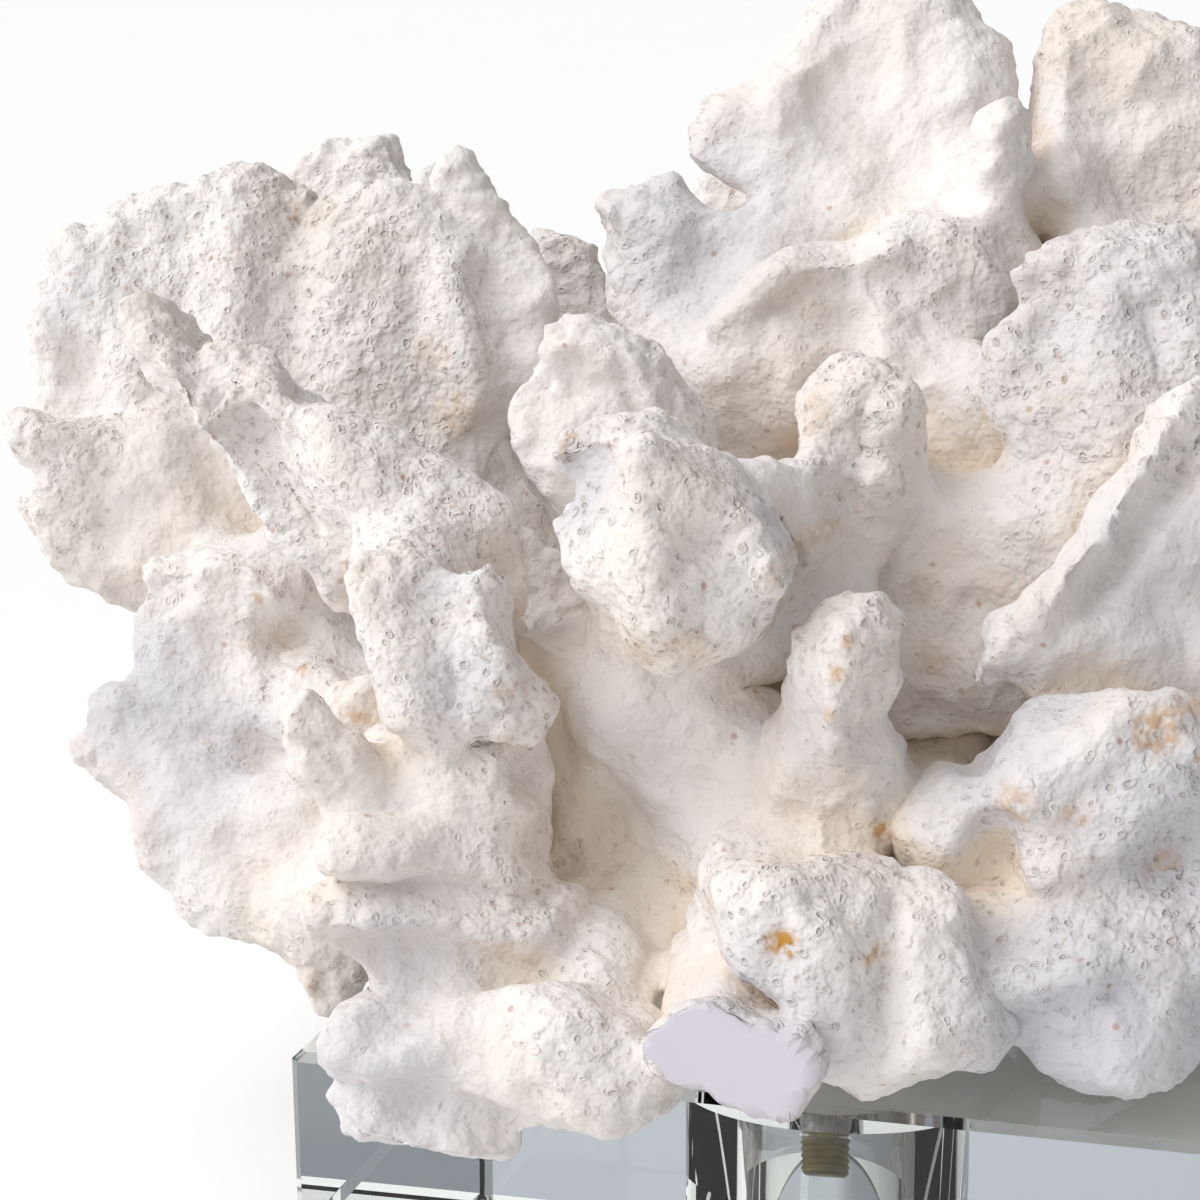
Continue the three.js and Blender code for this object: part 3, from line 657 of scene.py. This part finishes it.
def roughness(points, thin):
    # height of the skin's own relief in mm, and where it is pitted
    seed = coral["seed"]
    along = outwards(points)
    height = relief["flute"] * gradientNoise(along, relief["fluteSize"], seed + 7)
    height += relief["lump"] * creased(points, relief["lumpSize"], relief["crease"], seed)
    height += relief["pleat"] * creased(along, relief["pleatSize"], relief["sharpCrease"], seed + 9)
    height += relief["knob"] * creased(points, relief["knobSize"], relief["crease"], seed + 1)
    height += relief["crumb"] * gradientNoise(points, relief["crumbSize"], seed + 2)
    crag = relief["crag"] * creased(points, relief["cragSize"], relief["sharpCrease"], seed + 5)
    share, size = relief["cragFine"]
    crag += share * relief["crag"] * gradientNoise(points, relief["cragSize"] * size, seed + 6)
    height += thin * crag
    worn = relief["wornSway"] * gradientNoise(points, relief["wornSize"], seed + 3) + relief["wornBase"]
    inner, outer = relief["wornEdge"]
    for right, back, up, radius, strength in wear:
        gap = np.linalg.norm(points - fromTop((right, back, up)), axis=1)
        worn += strength * (1 - smoothStep(inner * radius, outer * radius, gap))
    pitted = smoothStep(*relief["pitted"], worn)
    fine = gradientNoise(points, relief["crumbSize"] * relief["gritSize"], seed + 8)
    smooth, rough = relief["grit"]
    height += (smooth + rough * pitted) * relief["crumb"] * fine
    gap, mark = cellDistance(points, relief["pitSize"], seed + 4)
    inner, outer = relief["pitEdge"]
    pit = 1 - smoothStep(inner * relief["pitRadius"], outer * relief["pitRadius"], gap)
    height -= relief["pitDepth"] * pit * pitted * (mark < relief["pitShare"])
    return height, pitted


def thinBuried(points, quads, buried):
    # merge the points of buried skin that share a coarse cell, and drop the faces that this closes up
    cell = np.floor(points / coral["coarse"]).astype(np.int64) + 1000
    key = (cell[:, 0] * 4096 + cell[:, 1]) * 4096 + cell[:, 2]
    key = np.where(buried, key, -1 - np.arange(len(points)))
    names, index = np.unique(key, return_inverse=True)
    index = index.ravel()
    count = np.bincount(index, minlength=len(names)).astype(float)
    merged = np.stack([np.bincount(index, points[:, a], len(names)) / count for a in range(3)], axis=1)
    faces = index[quads]
    onward = np.roll(faces, -1, axis=1)
    distinct = (faces != onward).sum(axis=1)
    whole = faces[(distinct == 4) & (faces[:, 0] != faces[:, 2]) & (faces[:, 1] != faces[:, 3])]
    three = (distinct == 3) & (faces[:, 0] != faces[:, 2]) & (faces[:, 1] != faces[:, 3])
    corners = faces[three]
    keep = corners != np.roll(corners, -1, axis=1)
    triangles = corners[keep].reshape(-1, 3)
    return merged, whole, triangles


def polygonMesh(name, points, quads, triangles):
    mesh = bpy.data.meshes.new(name)
    mesh.vertices.add(len(points))
    mesh.vertices.foreach_set("co", (points * mm).astype(np.float32).ravel())
    corners = np.concatenate([quads.ravel(), triangles.ravel()]).astype(np.int32)
    mesh.loops.add(len(corners))
    mesh.loops.foreach_set("vertex_index", corners)
    starts = np.concatenate([np.arange(len(quads)) * 4, len(quads) * 4 + np.arange(len(triangles)) * 3])
    mesh.polygons.add(len(starts))
    mesh.polygons.foreach_set("loop_start", starts.astype(np.int32))
    mesh.polygons.foreach_set("use_smooth", np.ones(len(starts), bool))
    mesh.update(calc_edges=True)
    mesh.validate()
    return mesh


def pastSaw(spots):
    # how far each spot lies past the saw's cut, and the cut's facing
    facing = np.array(sawn["facing"]) / np.linalg.norm(sawn["facing"])
    return (spots - fromTop(sawn["at"])) @ facing + sawn["behind"], facing


def flattenSawn(points, placed):
    # draws the skin at the cut onto the saw's plane
    cut = smoothStep(*sawn["edge"], pastSaw(points)[0])
    past, facing = pastSaw(placed)
    return placed - np.outer(cut * past, facing), cut


def stained(node, points, facing):
    # how strongly a stain covers each point of a branch's front
    total = np.zeros(len(points))
    inner, outer = relief["stainEdge"]
    for right, up, radius, strength in stains.get(node, []):
        spot = fromTop((right, 0, up))
        gap = np.hypot(points[:, 0] - spot[0], points[:, 2] - spot[2])
        total = np.maximum(total, strength * (1 - smoothStep(inner * radius, outer * radius, gap)))
    return total * (facing[:, 1] < relief["frontFacing"])


def paintedShadeCover(points):
    # how strongly the patches of painted shade cover each point
    total = np.zeros(len(points))
    inner, outer = relief["paintedShadeEdge"]
    for right, back, up, radius, strength in paintedShadePatches:
        gap = np.linalg.norm(points - fromTop((right, back, up)), axis=1)
        total = np.maximum(total, strength * (1 - smoothStep(inner * radius, outer * radius, gap)))
    return total


def coralPiece(grid, index, material):
    node, place, start, own = grid.branches[index]
    other = np.where(grid.owner[place] == index, grid.second[place], grid.first[place])
    past = (own - other) / 2
    reach = coral["tuckReach"]
    tuck = coral["tuck"] * np.clip(past / reach, 0, 1) ** 2
    tuck = tuck + coral["tuckSlope"] * np.clip(past - reach, 0, None)
    field = np.clip(grid.joined[place] + tuck, -grid.far, grid.far)
    volume = openvdb.FloatGrid(float(grid.far))
    volume.copyFromArray(np.ascontiguousarray(field), ijk=tuple(int(n) for n in start))
    points, quads = volume.convertToQuads(isovalue=0.0)
    points = points.astype(np.float64) * grid.step + grid.origin
    quads = quads[:, ::-1].astype(np.int64)
    buried = grid.sample(grid.joined, points) < -coral["buried"]
    points, quads, triangles = thinBuried(points, quads, buried)
    facing = grid.facing(points)
    placed = bend(points)
    behind = grid.sample(grid.shelter, points - facing * coral["rimReach"], grid.skip)
    height, pitted = roughness(placed, 1 - smoothStep(*coral["rimShelter"], behind))
    # how sheltered the space in front of the skin is; it sets the painted warm bounce light in the hollows
    hollowBounceAndAge = grid.sample(grid.shelter, points + facing * coral["hollowReach"], grid.skip)
    placed = placed + facing * height[:, None]
    cut = np.zeros(len(placed))
    if node == "sawn_stub":
        placed, cut = flattenSawn(points, placed)
    stain = stained(node, placed, facing)
    # patches of painted shade, laid into the colour
    paintedShade = paintedShadeCover(placed)
    aside = np.abs(placed[:, :2] - np.array(blockTop)[:2] / mm).max(axis=1)
    lowest = np.where(aside < coral["blockReach"], blockTop.z / mm + coral["blockGap"], -np.inf)
    placed[:, 2] = np.maximum(placed[:, 2], lowest)
    mesh = polygonMesh("coral_" + node, placed, quads, triangles)
    rows = {"pitted": pitted, "hollowBounceAndAge": hollowBounceAndAge, "stain": stain, "paintedShade": paintedShade, "sawn": cut}
    for name, values in rows.items():
        mesh.attributes.new(name, "FLOAT", "POINT").data.foreach_set("value", values.astype(np.float32))
    mesh.materials.append(material)
    piece = bpy.data.objects.new("coral_" + node, mesh)
    bpy.context.scene.collection.objects.link(piece)
    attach(piece, "root")
    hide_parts(node)
    return 2 * len(quads) + len(triangles)


chalk = {
    "white": "e9e4e1",
    "warm": "e2d8d0",
    "hollowBounceAndAge": "eadccb",     # warm beige in sheltered hollows: painted warm bounce light, and partly aged dust
    "ochre": "c08a35",      # stains
    "rust": "a8703c",       # small specks
    # lilac grey: random tint patches, and also the painted shade of the shaded patches
    "lilacAndShade": "c9c7cc",
    "sawn": "cfcad3",
    # painted shade in the pores: a dark brown laid into the colour inside each pore
    "poreShadeColour": "9c7a55",
    "cloud": 22.0,          # mm, size of the warm patches
    "bloom": 26.0,          # of the lilac patches
    "blot": 1.4,            # of the blots in a stain
    "dot": 4.3,             # between rust specks
    "cluster": 17.0,        # of the groups that they lie in
    "pore": 1.55,           # between pores
    "stir": 2.4,            # of the wander that sets the pores out of line
    "wander": 1.8,
    "grain": 1.4,
    "crumb": 2.2,
    "poreShade": 0.26,      # how dark the shade painted into a pore is
    "ringHeight": 0.17,     # mm, the raised rim of a pore
    "crumbHeight": 1.05,
    "grainHeight": 0.42,
    # where in its noise or distance each mark begins and is full, and how much of it shows
    "warmSpan": (0.42, 0.68),
    "bloomSpan": (0.58, 0.75),
    "bloomMost": 0.35,
    "hollowSpan": (0.36, 0.60),
    "hollowMost": 0.9,
    "blotSpan": (0.35, 0.55),
    "dotSpan": (0.14, 0.07),
    "dotMost": 0.5,
    "clusterSpan": (0.46, 0.60),
    "rimSpan": (0.50, 0.34),
    "holeSpan": (0.30, 0.12),
    "poreLeast": 0.28,
}


def bleachedCoralMaterial():
    # bleached coral skeleton: dry, chalky lime full of pores; no gloss; the soft shade in the pores, the
    # grey shade patches and the warm bounce light in the hollows are painted into its colour
    material, tree = newMaterial("BleachedCoral")
    place = addNode(tree, "ShaderNodeTexCoord").outputs["Object"]
    made = {}    # what each point of the skin was given when its branch was made
    for name in ("pitted", "hollowBounceAndAge", "stain", "paintedShade", "sawn"):
        made[name] = addNode(tree, "ShaderNodeAttribute", {"attribute_name": name}).outputs["Fac"]
    noise = {}
    for name, detail in (("cloud", 2.0), ("blot", 2.0), ("cluster", 1.0), ("grain", 1.0), ("crumb", 2.0)):
        noise[name] = addNode(tree, "ShaderNodeTexNoise", {"Scale": 1000 / chalk[name], "Detail": detail},
                              {"Vector": place}).outputs["Fac"]

    tint = addNode(tree, "ShaderNodeMapRange", span(chalk["warmSpan"]), {"Value": noise["cloud"]})
    bloom = addNode(tree, "ShaderNodeTexNoise",
                    {"Scale": 1000 / chalk["bloom"], "Detail": 2.0, "noise_dimensions": "4D", "W": 3.0},
                    {"Vector": place})
    lilacAndShade = addNode(tree, "ShaderNodeMapRange", span(chalk["bloomSpan"], chalk["bloomMost"]),
                    {"Value": bloom.outputs["Fac"]})
    # the lilac cover also carries the patches of painted shade
    lilacAndShade = addNode(tree, "ShaderNodeMath", {"operation": "MAXIMUM"}, {0: lilacAndShade.outputs[0], 1: made["paintedShade"]})
    # painted warm bounce light in the sheltered hollows, partly aged dust
    hollowBounceShare = addNode(tree, "ShaderNodeMapRange", span(chalk["hollowSpan"], chalk["hollowMost"]),
                   {"Value": made["hollowBounceAndAge"]})
    blotted = addNode(tree, "ShaderNodeMapRange", span(chalk["blotSpan"]), {"Value": noise["blot"]})
    blotted = addNode(tree, "ShaderNodeMath", {"operation": "MULTIPLY"},
                      {0: blotted.outputs[0], 1: made["stain"]})
    dots = addNode(tree, "ShaderNodeTexVoronoi", {"Scale": 1000 / chalk["dot"]}, {"Vector": place})
    dot = addNode(tree, "ShaderNodeMapRange", span(chalk["dotSpan"], chalk["dotMost"]),
                  {"Value": dots.outputs["Distance"]})
    clustered = addNode(tree, "ShaderNodeMapRange", span(chalk["clusterSpan"]), {"Value": noise["cluster"]})
    dot = addNode(tree, "ShaderNodeMath", {"operation": "MULTIPLY"},
                  {0: dot.outputs[0], 1: clustered.outputs[0]})

    stir = addNode(tree, "ShaderNodeTexNoise", {"Scale": 1000 / chalk["stir"], "Detail": 1.0},
                   {"Vector": place})
    stirred = addNode(tree, "ShaderNodeVectorMath",
                      {"operation": "MULTIPLY_ADD", 1: [chalk["wander"] * mm] * 3},
                      {0: stir.outputs["Color"], 2: place})
    pores = addNode(tree, "ShaderNodeTexVoronoi", {"Scale": 1000 / chalk["pore"]},
                    {"Vector": stirred.outputs[0]})
    rim = addNode(tree, "ShaderNodeMapRange", span(chalk["rimSpan"], smooth=True),
                  {"Value": pores.outputs["Distance"]})
    hole = addNode(tree, "ShaderNodeMapRange", span(chalk["holeSpan"], smooth=True),
                   {"Value": pores.outputs["Distance"]})
    ring = addNode(tree, "ShaderNodeMath", {"operation": "MULTIPLY_ADD", 1: -2.0},
                   {0: hole.outputs[0], 2: rim.outputs[0]})
    uneven = addNode(tree, "ShaderNodeSeparateColor", links={0: pores.outputs["Color"]})
    ring = addNode(tree, "ShaderNodeMath", {"operation": "MULTIPLY"},
                   {0: ring.outputs[0], 1: uneven.outputs[0]})
    share = addNode(tree, "ShaderNodeMapRange", {"To Min": chalk["poreLeast"], "To Max": 1.0},
                    {"Value": made["pitted"]})
    ring = addNode(tree, "ShaderNodeMath", {"operation": "MULTIPLY"},
                   {0: ring.outputs[0], 1: share.outputs[0]})
    # painted shade: the colour darkened inside each pore
    shade = addNode(tree, "ShaderNodeMath", {"operation": "MULTIPLY", 1: chalk["poreShade"]},
                    {0: hole.outputs[0]})
    shade = addNode(tree, "ShaderNodeMath", {"operation": "MULTIPLY"},
                    {0: shade.outputs[0], 1: share.outputs[0]})

    colour = addNode(tree, "ShaderNodeMix", {
        "data_type": "RGBA", 6: linear(chalk["white"]), 7: linear(chalk["warm"])}, {0: tint.outputs[0]})
    # colour layers; three are painted light: painted shade on the lilac patches, painted bounce light in the
    # hollows, painted shade in the pores
    layers = {"lilacAndShade": lilacAndShade.outputs[0], "hollowBounceAndAge": hollowBounceShare.outputs[0], "ochre": blotted.outputs[0],
              "rust": dot.outputs[0], "poreShadeColour": shade.outputs[0], "sawn": made["sawn"]}
    for name, cover in layers.items():
        colour = addNode(tree, "ShaderNodeMix", {"data_type": "RGBA", 7: linear(chalk[name])},
                         {0: cover, 6: colour.outputs[2]})

    crumbly = addNode(tree, "ShaderNodeMath", {"operation": "MULTIPLY"},
                      {0: noise["crumb"], 1: share.outputs[0]})
    height = addNode(tree, "ShaderNodeMath", {"operation": "MULTIPLY", 1: chalk["ringHeight"]},
                     {0: ring.outputs[0]})
    height = addNode(tree, "ShaderNodeMath", {"operation": "MULTIPLY_ADD", 1: chalk["crumbHeight"]},
                     {0: crumbly.outputs[0], 2: height.outputs[0]})
    height = addNode(tree, "ShaderNodeMath", {"operation": "MULTIPLY_ADD", 1: chalk["grainHeight"]},
                     {0: noise["grain"], 2: height.outputs[0]})
    uncut = addNode(tree, "ShaderNodeMapRange", {"To Min": 1.0, "To Max": 0.0}, {"Value": made["sawn"]})
    height = addNode(tree, "ShaderNodeMath", {"operation": "MULTIPLY"},
                     {0: height.outputs[0], 1: uncut.outputs[0]})
    bump = addNode(tree, "ShaderNodeBump", {"Strength": 1.0, "Distance": mm},
                   {"Height": height.outputs[0]})
    surface = addNode(tree, "ShaderNodeBsdfPrincipled",
                      {"Roughness": 0.85, "IOR": 1.5, "Specular IOR Level": 0.3},
                      {"Base Color": colour.outputs[2], "Normal": bump.outputs[0]})
    addNode(tree, "ShaderNodeOutputMaterial", links={"Surface": surface.outputs[0]})
    return material


def addCoral():
    grid = CoralGrid()
    for index, node in enumerate(coralNodes):
        grid.add(index, node)
    grid.measureShelter()
    print("coral grid", grid.shape, "branches", len(grid.branches))
    material = bleachedCoralMaterial()
    total = sum(coralPiece(grid, index, material) for index in range(len(grid.branches)))
    print("coral skin", total, "triangles")


block = {
    "chamfer": 1.1,       # mm, on every edge
    "faceCorner": 0.6,    # of it cut off the corners of the top and bottom
    "recessRadius": 20.0,
    "recessDepth": 12.0,
    "holeRadius": 5.4,
    "facets": 144,        # around the recess and the hole
    "bend": 1.52,         # index of refraction
    "depth": "cfe8d8",    # colour that a long way through it takes on
    "density": 1.6,
}
rod = {
    "radius": 5.1,        # mm, over the thread's crests
    "pitch": 0.94,
    "threadDepth": 0.42,
    "endChamfer": 0.8,
    "around": 64,
    "rowsPerTurn": 6,
    "dull": "6f6540",
    "rubbed": "b09c62",
    "patina": 2.5,        # mm, size of its patches
    "gloss": (0.5, 0.28), # roughness where it is dull and where it is rubbed
}


def squareReach(turn, half, corner):
    # distance from the middle to a square outline whose corners are cut off by `corner`
    x, y = abs(math.cos(turn)), abs(math.sin(turn))
    return min(half / max(x, y), (2 * half - corner) / (x + y))


def blockRing(turns, centre, height, reach):
    return [(centre.x + reach(t) * math.cos(t), centre.y + reach(t) * math.sin(t), height) for t in turns]


def opticalCrystalMaterial():
    # polished optical crystal: clear and water-white, a breath of green only through its full depth
    material, tree = newMaterial("OpticalCrystal")
    surface = addNode(tree, "ShaderNodeBsdfPrincipled", {
        "Base Color": linear("ffffff"), "Roughness": 0.0, "IOR": block["bend"], "Transmission Weight": 1.0})
    depth = addNode(tree, "ShaderNodeVolumeAbsorption", {
        "Color": linear(block["depth"]), "Density": block["density"]})
    addNode(tree, "ShaderNodeOutputMaterial",
            links={"Surface": surface.outputs[0], "Volume": depth.outputs[0]})
    return material


def addBlock():
    centre = (blockLow + blockHigh) / 2
    half = (blockHigh.x - blockLow.x) / 2
    cut = block["chamfer"] * mm
    corners = [math.atan2(y * (half - u), x * (half - v)) % (2 * math.pi)
               for x in (1, -1) for y in (1, -1) for u, v in ((0, cut), (cut, 0))]
    even = [2 * math.pi * i / block["facets"] for i in range(block["facets"])]
    turns = sorted(set(even + corners))
    outer = lambda t: squareReach(t, half, cut)
    inner = lambda t: squareReach(t, half - cut, cut * block["faceCorner"])
    recess = lambda t: block["recessRadius"] * mm
    hole = lambda t: block["holeRadius"] * mm
    low, high = blockLow.z, blockHigh.z
    ceiling = low + block["recessDepth"] * mm
    rings = [(high, hole), (high, inner), (high - cut, outer), (low + cut, outer), (low, inner),
             (low, recess), (ceiling, recess), (ceiling, hole)]
    points = [p for height, reach in rings for p in blockRing(turns, centre, height, reach)]
    around = len(turns)
    faces, rounded = [], []
    for ring in range(len(rings)):
        onward = (ring + 1) % len(rings)
        for i in range(around):
            j = (i + 1) % around
            faces.append((ring * around + j, ring * around + i, onward * around + i, onward * around + j))
            rounded.append(ring in (5, 7))
    piece = meshPiece("crystal_block", points, faces, opticalCrystalMaterial())
    piece.data.polygons.foreach_set("use_smooth", rounded)
    piece.visible_shadow = False  # clear crystal lets the light through to what stands under it
    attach(piece, "root")
    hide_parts("crystal_base")


def agedBrassMaterial():
    # aged brass: dull olive yellow from years of handling, darker in the thread's roots
    material, tree = newMaterial("AgedBrass")
    place = addNode(tree, "ShaderNodeTexCoord")
    patina = addNode(tree, "ShaderNodeTexNoise", {"Scale": 1000 / rod["patina"], "Detail": 4.0},
                     {"Vector": place.outputs["Object"]})
    tint = addNode(tree, "ShaderNodeMix", {
        "data_type": "RGBA", 6: linear(rod["dull"]), 7: linear(rod["rubbed"])}, {0: patina.outputs["Fac"]})
    gloss = addNode(tree, "ShaderNodeMapRange", {"To Min": rod["gloss"][0], "To Max": rod["gloss"][1]},
                    {"Value": patina.outputs["Fac"]})
    surface = addNode(tree, "ShaderNodeBsdfPrincipled", {"Metallic": 1.0},
                      {"Base Color": tint.outputs[2], "Roughness": gloss.outputs[0]})
    addNode(tree, "ShaderNodeOutputMaterial", links={"Surface": surface.outputs[0]})
    return material


def addRod():
    centre = (rodLow + rodHigh) / 2
    length = (rodHigh.z - rodLow.z) / mm
    rows = int(length / rod["pitch"] * rod["rowsPerTurn"])
    around = rod["around"]
    points = []
    for row in range(rows + 1):
        height = length * row / rows
        fromEnd = min(height, length - height)
        for i in range(around):
            wave = abs(((height / rod["pitch"] - i / around) % 1.0) * 2 - 1)
            radius = rod["radius"] - rod["threadDepth"] * wave
            radius = min(radius, rod["radius"] - rod["endChamfer"] + fromEnd)
            turn = 2 * math.pi * i / around
            points.append((centre.x + radius * mm * math.cos(turn), centre.y + radius * mm * math.sin(turn),
                           rodLow.z + height * mm))
    faces = [tuple(reversed(range(around))), tuple(rows * around + i for i in range(around))]
    for row in range(rows):
        for i in range(around):
            j = (i + 1) % around
            faces.append((row * around + i, row * around + j, (row + 1) * around + j,
                          (row + 1) * around + i))
    piece = meshPiece("brass_thread", points, faces, agedBrassMaterial())
    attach(piece, "root")
    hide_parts("threaded_rod")


def addStand():
    addBlock()
    addRod()
    print("stand: block and rod")


addCamera()
addStudio()
addFloor()
addStand()
addCoral()
